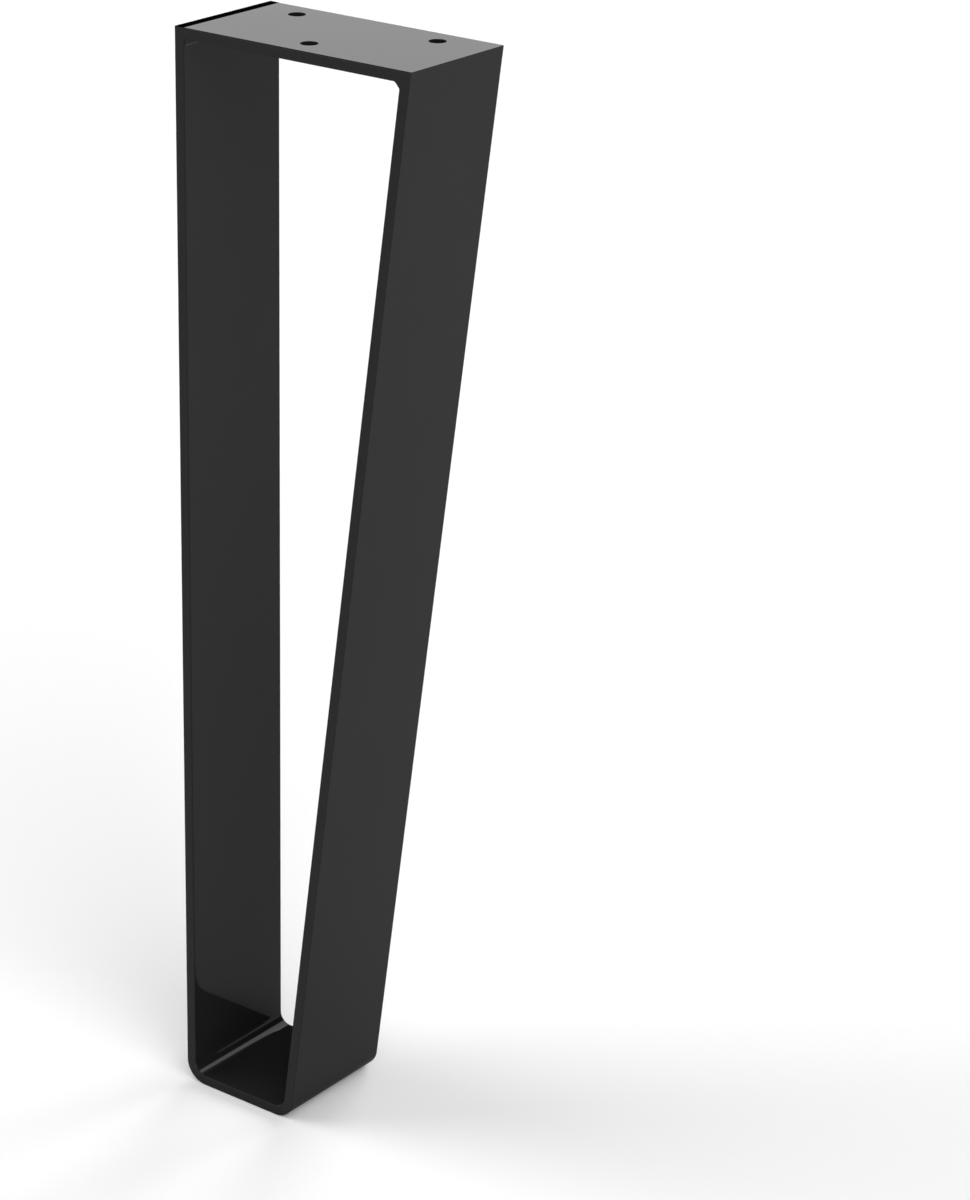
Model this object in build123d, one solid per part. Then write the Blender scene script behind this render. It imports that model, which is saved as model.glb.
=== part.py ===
from build123d import *
from math import atan2, cos, sin, tan
import os

# Steel table leg of flat bar. One strip is folded twice at the foot into an upright, a foot and a slanted side,
# and a screw plate is welded across the top. Millimetres, +Z up. The origin is on the floor, in the middle of
# the leg's overall width and depth. The upright is at -X, and the front is at -Y.

# Overall form
leg_height = 400.0          # floor to the top face of the screw plate
top_width = 100.0           # outside of the upright to outside of the slanted side, at the top
foot_width = 50.0           # the same at the floor, to the sharp corners that the folds round off

# Flat bar of the folded strip
bar_width = 50.0            # front to back
bar_thickness = 4.0
bar_edge_radius = 0.4       # rolled long edges, on the plate too
fold_inside_radius = 4.5    # both folds at the foot

# Screw plate, cut from flat bar of the same width
plate_thickness = 4.0
screw_hole_diameter = 6.0   # clearance for 5 mm wood screws
rear_hole_spacing = 60.0
rear_hole_margin = 10.0     # back edge of the plate to the rear hole centres
front_hole_margin = 10.0    # front edge of the plate to the front hole centre

# Fillet welds in the inside corners under the plate
weld_leg = 2.5
weld_hollow = 0.15          # how far the concave face dips below a flat one

# Places that the pieces share
lean = atan2(top_width - foot_width, leg_height)
upright_outside = -top_width / 2
upright_inside = upright_outside + bar_thickness
plate_underside = leg_height - plate_thickness
slant_up = Vector(sin(lean), 0, cos(lean))
slant_outward = Vector(cos(lean), 0, -sin(lean))


def slant_x(z, depth=0.0):
    """X of the slanted side at height z, at a depth below its outside face."""
    return upright_outside + foot_width + z * tan(lean) - depth / cos(lean)


def folded_strip():
    """One length of flat bar that follows the fold line; the slanted side is cut level to carry the plate."""
    middle = bar_thickness / 2
    rough_end = leg_height + bar_thickness
    fold_line = FilletPolyline(
        (upright_outside + middle, 0, leg_height),
        (upright_outside + middle, 0, middle),
        (slant_x(middle, middle), 0, middle),
        (slant_x(rough_end, middle), 0, rough_end),
        radius=fold_inside_radius + middle,
    )
    section_plane = Plane(origin=fold_line @ 0, x_dir=(1, 0, 0), z_dir=fold_line % 0)
    section = section_plane * RectangleRounded(bar_thickness, bar_width, bar_edge_radius)
    bar = sweep(section, path=fold_line)
    above_plate_seat = Pos(upright_inside, 0, plate_underside) * Box(
        2 * top_width, 2 * bar_width, leg_height, align=(Align.MIN, Align.CENTER, Align.MIN)
    )
    return bar - above_plate_seat


def top_plate():
    """Flat bar across the top: butts against the upright and ends flush with the slanted side's outside face."""
    butt_end = Plane(
        origin=(upright_inside, 0, plate_underside + plate_thickness / 2), x_dir=(0, 1, 0), z_dir=(1, 0, 0)
    )
    blank = extrude(butt_end * RectangleRounded(bar_width, plate_thickness, bar_edge_radius), amount=top_width)
    flush_end = Plane(origin=(slant_x(leg_height), 0, leg_height), z_dir=slant_outward)
    plate = split(blank, bisect_by=flush_end, keep=Keep.BOTTOM)
    rear_y = bar_width / 2 - rear_hole_margin
    front_y = -bar_width / 2 + front_hole_margin
    drill = Cylinder(screw_hole_diameter / 2, 2 * plate_thickness)
    for x, y in ((-rear_hole_spacing / 2, rear_y), (rear_hole_spacing / 2, rear_y), (0, front_y)):
        plate -= Pos(x, y, leg_height - plate_thickness / 2) * drill
    return plate


def weld_bead(corner, along_plate, down_side):
    """Fillet weld in an inside corner, with a slightly hollow face, between the bar's rolled edges."""
    plate_toe = corner + along_plate * weld_leg
    side_toe = corner + down_side * weld_leg
    flat_middle = (plate_toe + side_toe) / 2
    hollow_middle = flat_middle + (corner - flat_middle).normalized() * weld_hollow
    outline = [
        Line(corner, plate_toe),
        ThreePointArc(plate_toe, hollow_middle, side_toe),
        Line(side_toe, corner),
    ]
    return extrude(make_face(outline), amount=bar_width / 2 - bar_edge_radius, both=True)


def upright_weld():
    """Weld between the upright and the plate, a square corner."""
    return weld_bead(Vector(upright_inside, 0, plate_underside), Vector(1, 0, 0), Vector(0, 0, -1))


def slant_weld():
    """Weld between the slanted side and the plate, a corner slightly under square."""
    corner = Vector(slant_x(plate_underside, bar_thickness), 0, plate_underside)
    return weld_bead(corner, Vector(-1, 0, 0), -slant_up)


os.makedirs("parts", exist_ok=True)
for make in (folded_strip, top_plate, upright_weld, slant_weld):
    export_step(make(), f"parts/{make.__name__}.step")
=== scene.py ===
from math import atan2, cos, pi, radians, sin, tan

import bmesh
import bpy
from mathutils import Matrix, Vector


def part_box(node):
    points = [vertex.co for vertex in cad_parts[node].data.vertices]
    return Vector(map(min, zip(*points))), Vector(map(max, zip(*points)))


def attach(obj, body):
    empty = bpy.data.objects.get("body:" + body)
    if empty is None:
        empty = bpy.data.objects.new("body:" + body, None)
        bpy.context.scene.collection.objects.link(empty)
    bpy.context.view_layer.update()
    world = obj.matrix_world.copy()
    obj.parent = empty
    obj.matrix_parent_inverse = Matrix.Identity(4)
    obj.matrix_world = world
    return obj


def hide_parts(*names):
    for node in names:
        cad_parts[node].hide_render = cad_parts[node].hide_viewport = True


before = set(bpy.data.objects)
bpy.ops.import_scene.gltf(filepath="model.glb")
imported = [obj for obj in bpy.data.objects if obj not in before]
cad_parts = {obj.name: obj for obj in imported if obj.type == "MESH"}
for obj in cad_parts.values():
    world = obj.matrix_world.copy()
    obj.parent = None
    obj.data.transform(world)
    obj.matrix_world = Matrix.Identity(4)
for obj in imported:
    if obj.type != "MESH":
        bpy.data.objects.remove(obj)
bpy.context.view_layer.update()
scene = bpy.context.scene


# Camera
# The leg is seen from the front right and a little above, through a long lens. Its place comes from the
# straight edges of the leg in the picture, whose optical axis is a little above and left of the middle.
camera_place = Vector((0.72772, -0.90232, 0.67144))
camera_turn = radians(37.347)
camera_tilt = radians(21.229)
camera_roll = radians(0.801)
picture_height_px = 1200
focal_length_px = 3561.6
sensor_width_mm = 36
view_shift_right = 0.05
view_shift_up = -0.05
farthest_seen = 100

lens = bpy.data.cameras.new("camera")
lens.sensor_width = sensor_width_mm
lens.lens = focal_length_px / picture_height_px * sensor_width_mm
lens.shift_x = view_shift_right
lens.shift_y = view_shift_up
lens.clip_end = farthest_seen
camera = bpy.data.objects.new("camera", lens)
looking = (
    Matrix.Rotation(camera_turn, 4, "Z")
    @ Matrix.Rotation(pi / 2 - camera_tilt, 4, "X")
    @ Matrix.Rotation(camera_roll, 4, "Z")
)
camera.matrix_world = Matrix.Translation(camera_place) @ looking
scene.collection.objects.link(camera)
scene.camera = camera
scene.view_settings.view_transform = "Standard"


# Floor and light
# A plain white floor in a white studio. Broad lamps left, right and behind throw soft shadows from the
# foot, and a weak one in front fills them. The gloss sees a grey floor, a low wall, a cove and two panels;
# the grey floor in the gloss has painted shade near the foot, round its contact and towards the front.
class Wire:
    """One output in a node tree. Arithmetic on it adds Math nodes, and add() makes any other node."""

    def __init__(self, socket):
        self.socket = socket

    def add(self, kind, settings, inputs, output=0):
        tree = self.socket.id_data
        node = tree.nodes.new(kind)
        for name, value in settings.items():
            setattr(node, name, value)
        for key, value in inputs.items():
            if isinstance(value, Wire):
                tree.links.new(value.socket, node.inputs[key])
            else:
                node.inputs[key].default_value = value
        return Wire(node.outputs[output]) if node.outputs else node

    def beside(self, output):
        return Wire(self.socket.node.outputs[output])

    def maths(self, operation, first, second=0.0):
        return self.add("ShaderNodeMath", {"operation": operation}, {0: first, 1: second})

    def larger(self, other):
        return self.maths("MAXIMUM", self, other)

    def __add__(self, other):
        return self.maths("ADD", self, other)

    def __radd__(self, other):
        return self.maths("ADD", other, self)

    def __sub__(self, other):
        return self.maths("SUBTRACT", self, other)

    def __rsub__(self, other):
        return self.maths("SUBTRACT", other, self)

    def __mul__(self, other):
        return self.maths("MULTIPLY", self, other)

    def __rmul__(self, other):
        return self.maths("MULTIPLY", other, self)

    def __truediv__(self, other):
        return self.maths("DIVIDE", self, other)

    def __rtruediv__(self, other):
        return self.maths("DIVIDE", other, self)

    def __gt__(self, other):
        return self.maths("GREATER_THAN", self, other)

    def __lt__(self, other):
        return self.maths("LESS_THAN", self, other)


def first_wire(owner, kind, output):
    """Clears the owner's node tree and starts it again with one node."""
    owner.use_nodes = True
    owner.node_tree.nodes.clear()
    return Wire(owner.node_tree.nodes.new(kind).outputs[output])


def ramp(wire, start, end):
    """A smooth step from 0 at start to 1 at end."""
    limits = {"Value": wire, "From Min": start, "From Max": end}
    return wire.add("ShaderNodeMapRange", {"interpolation_type": "SMOOTHSTEP"}, limits)


def apart(wire, middle):
    """How far a value lies from a middle one, either way."""
    return wire.maths("ABSOLUTE", wire - middle)


def mixed(share, first, second):
    """A colour that goes from the first one, at a share of 0, to the second, at 1."""
    # A Mix node has its factor in socket 0, its colours in 6 and 7, and the mixed colour in output 2.
    return share.add("ShaderNodeMix", {"data_type": "RGBA"}, {0: share, 6: first, 7: second}, output=2)


even_fill = 0.20
dim_studio = 0.01
rear_panel_light = 1.2
rear_panel_bearing = radians(91)
low_wall_light = 0.96
low_wall_gap_bearing = radians(45)
cove_light = 0.34
second_look_loss = 0.85
second_look_grey = 0.15
world = bpy.data.worlds.new("white_studio")
scene.world = world
direction = first_wire(world, "ShaderNodeTexCoord", "Generated")
eastward = direction.add("ShaderNodeSeparateXYZ", {}, {"Vector": direction}, output="X")
upward = eastward.beside("Z")
bearing = eastward.maths("ARCTAN2", eastward.beside("Y"), eastward)
rear_panel_width = ramp(apart(bearing, rear_panel_bearing), start=radians(34), end=radians(27))
rear_panel = rear_panel_light * rear_panel_width * ramp(upward, start=0.90, end=0.82)
low_wall_gap = ramp(apart(bearing, low_wall_gap_bearing), start=radians(7), end=radians(12))
low_wall = low_wall_light * ramp(upward, start=0.37, end=0.29) * low_wall_gap
cove = cove_light * ramp(upward, start=0.18, end=0.07)
overhead_panel = ramp(upward, start=0.88, end=0.94)
panels = rear_panel.larger(low_wall).larger(overhead_panel).larger(cove)
camera_ray = direction.add("ShaderNodeLightPath", {}, {}, output="Is Camera Ray")
second_look = camera_ray.beside("Glossy Depth") > 1
seen_panels = panels * (1 - second_look_loss * second_look)
studio = dim_studio + (1 - dim_studio) * seen_panels + second_look_grey * second_look
clear_ray = camera_ray + camera_ray.beside("Is Transmission Ray")
glossy_ray = camera_ray.beside("Is Glossy Ray")
brightness = clear_ray + glossy_ray * studio + (1 - clear_ray - glossy_ray) * even_fill
sky = direction.add("ShaderNodeBackground", {}, {"Color": (1, 1, 1, 1), "Strength": brightness})
sky.add("ShaderNodeOutputWorld", {}, {"Surface": sky})

floor_white = (0.97, 0.97, 0.97, 1)
# Painted shade in the floor's gloss colour: darker near the leg than far away, darker towards the front
# left, and darkest in a band round the foot where it stands.
gloss_floor_near_painted_shade = (0.298, 0.298, 0.298, 1)
gloss_floor_far = (0.363, 0.363, 0.363, 1)
gloss_floor_front_painted_shade = (0.26, 0.26, 0.26, 1)
gloss_floor_contact_painted_shade = (0.21, 0.21, 0.21, 1)
front_left = (-0.63, -0.78, 0.0)
foot_middle_x = -0.025
foot_half = 0.025
painted_contact_shade_reach = 0.008
floor_half = 6.0
floor_finish = bpy.data.materials.new("white_floor")
floor_place = first_wire(floor_finish, "ShaderNodeTexCoord", "Object")
reach = floor_place.add("ShaderNodeVectorMath", {"operation": "LENGTH"}, {0: floor_place}, output="Value")
frontward = floor_place.add(
    "ShaderNodeVectorMath", {"operation": "DOT_PRODUCT"}, {0: floor_place, 1: front_left}, output="Value"
)
floor_x = floor_place.add("ShaderNodeSeparateXYZ", {}, {"Vector": floor_place}, output="X")
from_foot = apart(floor_x, foot_middle_x).larger(apart(floor_x.beside("Y"), 0.0))
# Painted contact shade: within a few millimetres of the foot the floor seen in the gloss turns darker.
past_painted_contact_shade = ramp(from_foot, start=foot_half, end=foot_half + painted_contact_shade_reach)
floor_painted_falloff = mixed(ramp(reach, start=0.05, end=0.9), gloss_floor_near_painted_shade, gloss_floor_far)
floor_painted_front_shade = mixed(ramp(frontward, start=0.0, end=0.1), floor_painted_falloff, gloss_floor_front_painted_shade)
gloss_floor_painted_shades = mixed(past_painted_contact_shade, gloss_floor_contact_painted_shade, floor_painted_front_shade)
floor_ray = floor_place.add("ShaderNodeLightPath", {}, {}, output="Is Glossy Ray")
white_floor = floor_place.add("ShaderNodeBsdfDiffuse", {}, {"Color": floor_white})
grey_floor = floor_place.add("ShaderNodeBsdfDiffuse", {}, {"Color": gloss_floor_painted_shades})
floor_shader = floor_place.add("ShaderNodeMixShader", {}, {0: floor_ray, 1: white_floor, 2: grey_floor})
floor_shader.add("ShaderNodeOutputMaterial", {}, {"Surface": floor_shader})

floor_mesh = bpy.data.meshes.new("floor")
floor_corners = [(x * floor_half, y * floor_half, 0) for x, y in ((-1, -1), (1, -1), (1, 1), (-1, 1))]
floor_mesh.from_pydata(floor_corners, [], [(0, 1, 2, 3)])
floor_mesh.materials.append(floor_finish)
floor = bpy.data.objects.new("floor", floor_mesh)
scene.collection.objects.link(floor)


def broad_lamp(name, bearing, height, spread, floor_share):
    """A broad distant lamp, its angles in degrees; it gives the floor that share of full white."""
    lamp = bpy.data.lights.new(name, "SUN")
    lamp.angle = radians(spread)
    lamp.energy = floor_share * pi / sin(radians(height))
    holder = bpy.data.objects.new(name, lamp)
    holder.rotation_euler = (0, radians(90 - height), radians(bearing))
    holder.visible_glossy = False
    scene.collection.objects.link(holder)


broad_lamp("left_lamp", bearing=203.5, height=21.7, spread=45.8, floor_share=0.264)
broad_lamp("right_lamp", bearing=339.7, height=36.1, spread=41.2, floor_share=0.248)
broad_lamp("rear_lamp", bearing=92.1, height=24.5, spread=48.0, floor_share=0.297)
broad_lamp("front_lamp", bearing=309.0, height=35.0, spread=50.0, floor_share=0.06)


# Folded strip
# One length of 50 x 4 mm hot-rolled flat bar with softly rounded long edges, folded twice at the foot on a
# press brake. It is cleaned, welded to the plate, and then the whole leg gets a smooth black powder coat.
strip_low, strip_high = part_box("folded_strip")
plate_low, plate_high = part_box("top_plate")
bar_width = strip_high.y - strip_low.y
bar_thickness = plate_low.x - strip_low.x
bar_edge_radius = 0.0004
foot_width = 0.050
fold_inside_radius = 0.0045
fold_segments = 40
seat_inset = 0.00002  # holds the top of the seat just inside the plate's flush end
leg_height = plate_high.z
plate_underside = plate_low.z
top_width = plate_high.x - strip_low.x
lean = atan2(top_width - foot_width, leg_height)


def slant_x(z, depth):
    """X of the slanted side at height z, at a depth below its outside face."""
    return strip_low.x + foot_width + z * tan(lean) - depth / cos(lean)


def black_coat():
    """Smooth semi-gloss black powder coat with a faint orange peel."""
    coat_black = (0.0110, 0.0110, 0.0113, 1)
    coat_black_thin = (0.0136, 0.0136, 0.0140, 1)
    least_roughness = 0.04
    cloud_roughness = 0.03
    peel_per_metre = 450
    peel_height = 2e-6
    cloud_per_metre = 35
    material = bpy.data.materials.new("black_powder_coat")
    place = first_wire(material, "ShaderNodeTexCoord", "Object")
    peel = place.add("ShaderNodeTexNoise", {}, {"Vector": place, "Scale": peel_per_metre, "Detail": 2.0})
    cloud = place.add("ShaderNodeTexNoise", {}, {"Vector": place, "Scale": cloud_per_metre, "Detail": 3.0})
    shader = place.add(
        "ShaderNodeBsdfPrincipled",
        {},
        {
            "Base Color": mixed(cloud, coat_black, coat_black_thin),
            "Roughness": least_roughness + cloud_roughness * cloud,
            "IOR": 1.5,
            "Normal": place.add(
                "ShaderNodeBump", {}, {"Strength": 1.0, "Distance": peel_height, "Height": peel}
            ),
        },
    )
    shader.add("ShaderNodeOutputMaterial", {}, {"Surface": shader})
    return material


def dull_end():
    """Matt near-black finish with no specular gloss, for the flat top end of the upright."""
    end_black = (0.0015, 0.0015, 0.0015, 1)
    least_roughness = 0.85
    grain_roughness = 0.1
    grain_per_metre = 1800
    material = bpy.data.materials.new("dull_black_end")
    place = first_wire(material, "ShaderNodeTexCoord", "Object")
    grain = place.add("ShaderNodeTexNoise", {}, {"Vector": place, "Scale": grain_per_metre, "Detail": 2.0})
    shader = place.add(
        "ShaderNodeBsdfPrincipled",
        {},
        {
            "Base Color": end_black,
            "Roughness": least_roughness + grain_roughness * grain,
            "Specular IOR Level": 0.0,
        },
    )
    shader.add("ShaderNodeOutputMaterial", {}, {"Surface": shader})
    return material


coat = black_coat()
bar_end = dull_end()


def node_tree(name, size_names):
    """An empty Geometry Nodes tree with a named input for each size, and its input node's first wire."""
    tree = bpy.data.node_groups.new(name, "GeometryNodeTree")
    tree.interface.new_socket("Geometry", in_out="INPUT", socket_type="NodeSocketGeometry")
    for size_name in size_names:
        tree.interface.new_socket(size_name, in_out="INPUT", socket_type="NodeSocketFloat")
    tree.interface.new_socket("Geometry", in_out="OUTPUT", socket_type="NodeSocketGeometry")
    return tree, Wire(tree.nodes.new("NodeGroupInput").outputs["Geometry"])


def coated(geometry):
    """Smooth faces, instances made real, and the black coat all over."""
    smooth = geometry.add("GeometryNodeSetShadeSmooth", {}, {"Geometry": geometry})
    real = geometry.add("GeometryNodeRealizeInstances", {}, {"Geometry": smooth})
    return geometry.add("GeometryNodeSetMaterial", {}, {"Geometry": real, "Material": coat})


def end_tree(geometry):
    """Leads the finished geometry out of its tree."""
    geometry.add("NodeGroupOutput", {}, {"Geometry": geometry})


def edge_mesh(name, points, joined=True, closed=False):
    """A mesh of points, joined by edges in order where wanted, as the line that a tree starts from."""
    mesh = bpy.data.meshes.new(name)
    joins = [(i, i + 1) for i in range(len(points) - 1)] if joined else []
    if closed:
        joins.append((len(points) - 1, 0))
    mesh.from_pydata(points, joins, [])
    return mesh


def formed(name, start_mesh, tree, sizes, rim_radius=0.0):
    """Runs a tree on a start mesh and keeps the result as a plain piece with crisp flats and soft rounds."""
    rim_segments = 4
    merge_distance = 1e-7
    sharp_from = radians(32)
    former = bpy.data.objects.new(name + "_former", start_mesh)
    scene.collection.objects.link(former)
    modifier = former.modifiers.new("form", "NODES")
    modifier.node_group = tree
    for item in tree.interface.items_tree:
        if item.in_out == "INPUT" and item.name in sizes:
            modifier[item.identifier] = sizes[item.name]
    if rim_radius:
        rims = former.modifiers.new("rims", "BEVEL")
        rims.limit_method = "WEIGHT"
        rims.width = rim_radius
        rims.segments = rim_segments
    evaluated = former.evaluated_get(bpy.context.evaluated_depsgraph_get())
    mesh = bpy.data.meshes.new_from_object(evaluated)
    bpy.data.objects.remove(former)
    shell = bmesh.new()
    shell.from_mesh(mesh)
    bmesh.ops.remove_doubles(shell, verts=shell.verts, dist=merge_distance)
    bmesh.ops.recalc_face_normals(shell, faces=shell.faces)
    shell.to_mesh(mesh)
    shell.free()
    mesh.set_sharp_from_angle(angle=sharp_from)
    piece = bpy.data.objects.new(name, mesh)
    scene.collection.objects.link(piece)
    flats = piece.modifiers.new("flats", "WEIGHTED_NORMAL")
    flats.keep_sharp = True
    return piece


def rounded(curve, radius, segments):
    """A line of straight runs with each corner rounded in equal steps."""
    return curve.add(
        "GeometryNodeFilletCurve",
        {"mode": "POLY"},
        {"Curve": curve, "Count": segments, "Radius": radius, "Limit Radius": False},
    )


def bar_section(wire, width, thickness, radius):
    """The closed outline of the flat bar with its rolled corners."""
    edge_segments = 5
    outline = wire.add("GeometryNodeCurvePrimitiveQuadrilateral", {}, {"Width": width, "Height": thickness})
    return rounded(outline, radius, edge_segments)


strip_tree, strip_in = node_tree(
    "fold_flat_bar",
    (
        "Bar width",
        "Bar thickness",
        "Edge radius",
        "Middle fold radius",
        "Seat height",
        "Seat run",
        "Seat inset",
        "Top height",
    ),
)
sharp_line = strip_in.add("GeometryNodeMeshToCurve", {}, {"Mesh": strip_in})
fold_line = rounded(sharp_line, strip_in.beside("Middle fold radius"), fold_segments)
strip_section = bar_section(
    strip_in, strip_in.beside("Bar thickness"), strip_in.beside("Bar width"), strip_in.beside("Edge radius")
)
swept = strip_in.add(
    "GeometryNodeCurveToMesh", {}, {"Curve": fold_line, "Profile Curve": strip_section, "Fill Caps": True}
)
strip_place = strip_in.add("GeometryNodeInputPosition", {}, {})
across = strip_in.add("ShaderNodeSeparateXYZ", {}, {"Vector": strip_place})
height = across.beside("Z")
seat_height = strip_in.beside("Seat height")
rise = seat_height - height
seat_shift = strip_in.add(
    "ShaderNodeCombineXYZ",
    {},
    {"X": rise * strip_in.beside("Seat run") - strip_in.beside("Seat inset"), "Z": rise},
)
slant_end = (across > 0) * (height > seat_height - strip_in.beside("Bar thickness"))
level_cut = strip_in.add(
    "GeometryNodeSetPosition", {}, {"Geometry": swept, "Selection": slant_end, "Offset": seat_shift}
)
# The flat faces at the top of the upright get the matt near-black finish.
upright_top_end = height > strip_in.beside("Top height") - strip_in.beside("Edge radius")
end_tree(
    strip_in.add(
        "GeometryNodeSetMaterial",
        {},
        {"Geometry": coated(level_cut), "Selection": upright_top_end, "Material": bar_end},
    )
)

half_bar = bar_thickness / 2
seat_top = plate_underside + bar_edge_radius
fold_points = [
    (strip_low.x + half_bar, 0, leg_height),
    (strip_low.x + half_bar, 0, half_bar),
    (slant_x(half_bar, half_bar), 0, half_bar),
    (slant_x(seat_top, half_bar), 0, seat_top),
]
strip = formed(
    "flat_bar_strip",
    edge_mesh("fold_line", fold_points),
    strip_tree,
    {
        "Bar width": bar_width,
        "Bar thickness": bar_thickness,
        "Edge radius": bar_edge_radius,
        "Middle fold radius": fold_inside_radius + half_bar,
        "Seat height": seat_top,
        "Seat run": tan(lean),
        "Seat inset": seat_inset,
        "Top height": leg_height,
    },
)
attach(strip, "root")
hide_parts("folded_strip")


# Screw plate
# A short length of the same flat bar, sawn square where it butts on the upright and to the lean where it
# ends flush with the slanted side. Three plain screw holes are drilled through it, with eased rims.
hole_radius = 0.0030
hole_rim_radius = 0.0002
hole_facets = 72
hole_places = [(-0.030, 0.015), (0.030, 0.015), (0.0, -0.015)]
corner_steps = 6
butt_tuck = 0.01  # share of its thickness that the plate loses at the butt end, inside the upright

plate_tree, plate_in = node_tree(
    "drill_flat_bar",
    (
        "Bar width",
        "Bar thickness",
        "Edge radius",
        "Butt end",
        "Butt tuck",
        "Flush end",
        "Middle height",
        "Seat run",
        "Hole radius",
    ),
)
plate_middle = plate_in.beside("Middle height")
butt_end = plate_in.beside("Butt end")
corner_radius = plate_in.beside("Edge radius")
corner_start = plate_in.beside("Flush end") - corner_radius
station = plate_in.add("GeometryNodeInputIndex", {}, {})
quarter_turn = (station - 1) * (pi / 2 / corner_steps)
corner_x = corner_start + corner_radius * station.maths("SINE", quarter_turn)
station_x = butt_end + (station > 0) * (corner_x - butt_end)
stations = plate_in.add(
    "GeometryNodeSetPosition",
    {},
    {
        "Geometry": plate_in.add("GeometryNodeMeshLine", {}, {"Count": corner_steps + 2}),
        "Position": plate_in.add("ShaderNodeCombineXYZ", {}, {"X": station_x, "Z": plate_middle}),
    },
)
plate_line = plate_in.add("GeometryNodeMeshToCurve", {}, {"Mesh": stations})
plate_section = bar_section(
    plate_in, plate_in.beside("Bar width"), plate_in.beside("Bar thickness"), corner_radius
)
blank = plate_in.add(
    "GeometryNodeCurveToMesh", {}, {"Curve": plate_line, "Profile Curve": plate_section, "Fill Caps": True}
)
plate_place = plate_in.add("GeometryNodeInputPosition", {}, {})
along = plate_in.add("ShaderNodeSeparateXYZ", {}, {"Vector": plate_place})
at_flush_end = along > 0
past_start = along - corner_start
left_over = (corner_radius * corner_radius - past_start * past_start).larger(0.0)
corner_inset = (corner_radius - along.maths("SQRT", left_over)) * at_flush_end
width_share = along.beside("Y") / (0.5 * plate_in.beside("Bar width"))
above_middle = along.beside("Z") - plate_middle
end_shift = plate_in.add(
    "ShaderNodeCombineXYZ",
    {},
    {
        "X": above_middle * plate_in.beside("Seat run") * at_flush_end,
        "Y": 0 - corner_inset * width_share,
        "Z": above_middle * (at_flush_end - 1) * plate_in.beside("Butt tuck"),
    },
)
sawn = plate_in.add("GeometryNodeSetPosition", {}, {"Geometry": blank, "Offset": end_shift})
drill = plate_in.add(
    "GeometryNodeMeshCylinder",
    {},
    {
        "Vertices": hole_facets,
        "Radius": plate_in.beside("Hole radius"),
        "Depth": 3 * plate_in.beside("Bar thickness"),
    },
)
drills = plate_in.add("GeometryNodeInstanceOnPoints", {}, {"Points": plate_in, "Instance": drill})
all_drills = plate_in.add("GeometryNodeRealizeInstances", {}, {"Geometry": drills})
drilled = plate_in.add(
    "GeometryNodeMeshBoolean",
    {"operation": "DIFFERENCE", "solver": "EXACT"},
    {
        "Mesh 1": plate_in.add("GeometryNodeSetMaterial", {}, {"Geometry": sawn, "Material": coat}),
        "Mesh 2": plate_in.add("GeometryNodeSetMaterial", {}, {"Geometry": all_drills, "Material": coat}),
    },
)
eased = plate_in.add(
    "GeometryNodeStoreNamedAttribute",
    {"data_type": "FLOAT", "domain": "EDGE"},
    {
        "Geometry": drilled,
        "Selection": drilled.beside("Intersecting Edges"),
        "Name": "bevel_weight_edge",
        "Value": 1.0,
    },
)
end_tree(coated(eased))

plate_centre = (plate_underside + leg_height) / 2
plate = formed(
    "screw_plate",
    edge_mesh("hole_centres", [(x, y, plate_centre) for x, y in hole_places], joined=False),
    plate_tree,
    {
        "Bar width": bar_width,
        "Bar thickness": leg_height - plate_underside,
        "Edge radius": bar_edge_radius,
        "Butt end": plate_low.x - bar_edge_radius,
        "Butt tuck": butt_tuck,
        "Flush end": slant_x(plate_centre, 0),
        "Middle height": plate_centre,
        "Seat run": tan(lean),
        "Hole radius": hole_radius,
    },
    rim_radius=hole_rim_radius,
)
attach(plate, "root")
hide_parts("top_plate")


# Weld beads
# A fillet weld in each inside corner under the plate, laid by hand from front to back, so that its slightly
# hollow face carries fine ripples. They are the only joints of the leg, and the coat runs over them.
weld_leg = 0.0025
weld_hollow = 0.00015
weld_length = bar_width - 2 * bar_edge_radius
weld_stations = 320
face_steps = 12
ripple_pitch = 0.0013
ripple_depth = 0.05
ripple_drift = 0.8
least_ripple = 0.4
unevenness_per_metre = 260

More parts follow.
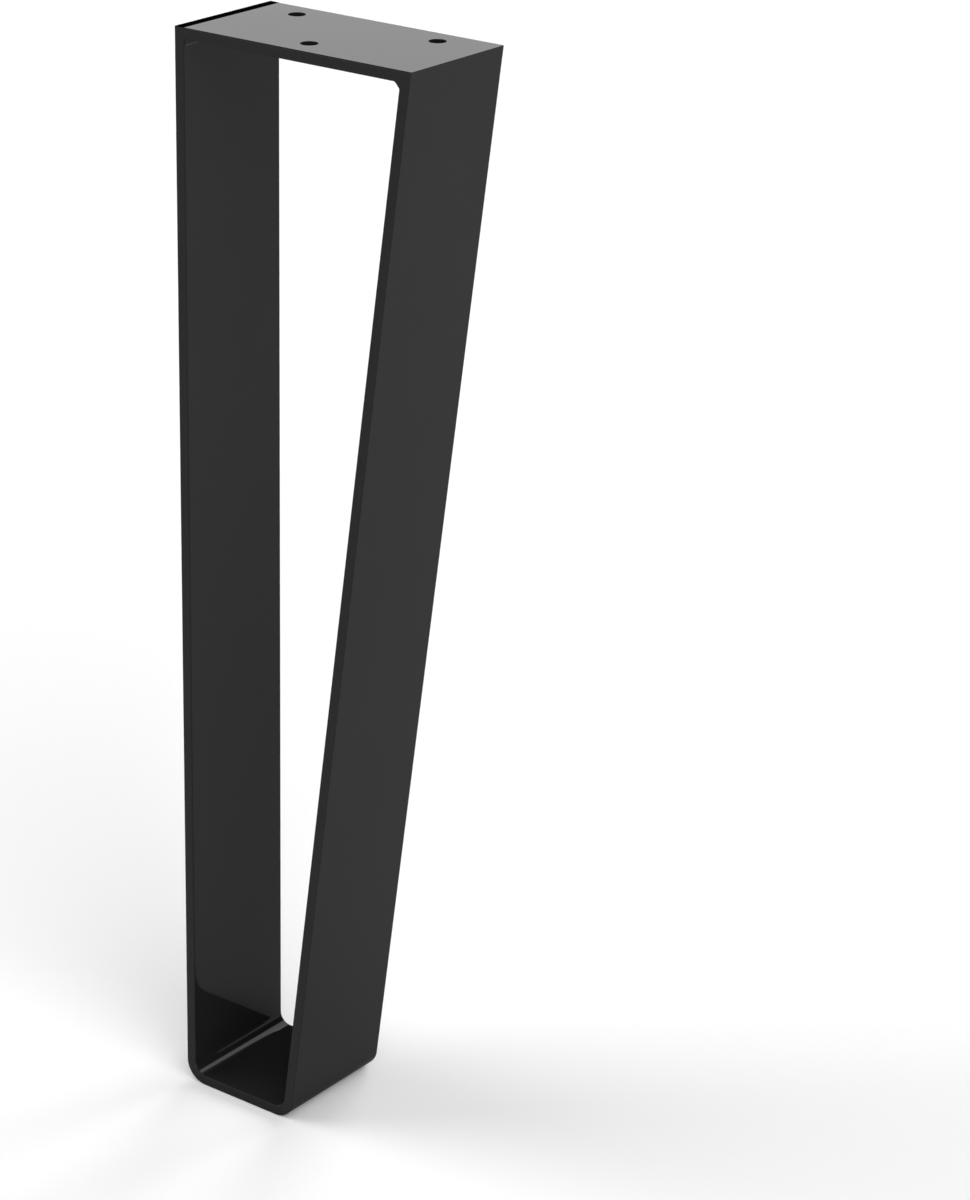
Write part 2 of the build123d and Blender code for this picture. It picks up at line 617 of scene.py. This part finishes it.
weld_tree, weld_in = node_tree(
    "weld_bead", ("Corner X", "Corner Z", "Length", "Ripple pitch", "Ripple depth", "Ripple drift")
)
weld_ends = [
    weld_in.add(
        "ShaderNodeCombineXYZ",
        {},
        {
            "X": weld_in.beside("Corner X"),
            "Y": side * weld_in.beside("Length"),
            "Z": weld_in.beside("Corner Z"),
        },
    )
    for side in (-0.5, 0.5)
]
weld_line = weld_in.add("GeometryNodeCurvePrimitiveLine", {}, {"Start": weld_ends[0], "End": weld_ends[1]})
weld_steps = weld_in.add("GeometryNodeResampleCurve", {}, {"Curve": weld_line, "Count": weld_stations})
weld_place = weld_in.add("GeometryNodeInputPosition", {}, {})
weld_y = weld_in.add("ShaderNodeSeparateXYZ", {}, {"Vector": weld_place}, output="Y")
unevenness = weld_in.add(
    "ShaderNodeTexNoise", {}, {"Vector": weld_place, "Scale": unevenness_per_metre, "Detail": 1.0}
)
phase = weld_y / weld_in.beside("Ripple pitch") + weld_in.beside("Ripple drift") * unevenness
crest = 2 * phase.maths("PINGPONG", phase, 0.5)
swell = 1 - weld_in.beside("Ripple depth") * (1 - crest) * (least_ripple + unevenness)
weld_outline = weld_in.add("GeometryNodeMeshToCurve", {}, {"Mesh": weld_in})
weld_body = weld_in.add(
    "GeometryNodeCurveToMesh",
    {},
    {"Curve": weld_steps, "Profile Curve": weld_outline, "Scale": swell, "Fill Caps": True},
)
end_tree(coated(weld_body))


def weld_section(along_plate, down_side):
    """Outline of a bead about its corner, as X and depth, with a hollow face between its two toes."""
    plate_toe = along_plate * weld_leg
    side_toe = down_side * weld_leg
    inward = -(plate_toe + side_toe).normalized()
    outline = [(0, 0, 0)]
    for step in range(face_steps + 1):
        share = step / face_steps
        dip = 4 * share * (1 - share) * weld_hollow
        outline.append(tuple(plate_toe.lerp(side_toe, share) + inward * dip))
    return outline


slant_inside_x = slant_x(plate_underside, bar_thickness)
slant_down = Vector((-sin(lean), cos(lean), 0))
for bead_name, stands_for, bead_x, along_plate, down_side in (
    ("upright_weld_bead", "upright_weld", plate_low.x, Vector((1, 0, 0)), Vector((0, 1, 0))),
    ("slant_weld_bead", "slant_weld", slant_inside_x, Vector((-1, 0, 0)), slant_down),
):
    bead = formed(
        bead_name,
        edge_mesh(bead_name + "_section", weld_section(along_plate, down_side), closed=True),
        weld_tree,
        {
            "Corner X": bead_x,
            "Corner Z": plate_underside,
            "Length": weld_length,
            "Ripple pitch": ripple_pitch,
            "Ripple depth": ripple_depth,
            "Ripple drift": ripple_drift,
        },
    )
    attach(bead, "root")
    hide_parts(stands_for)
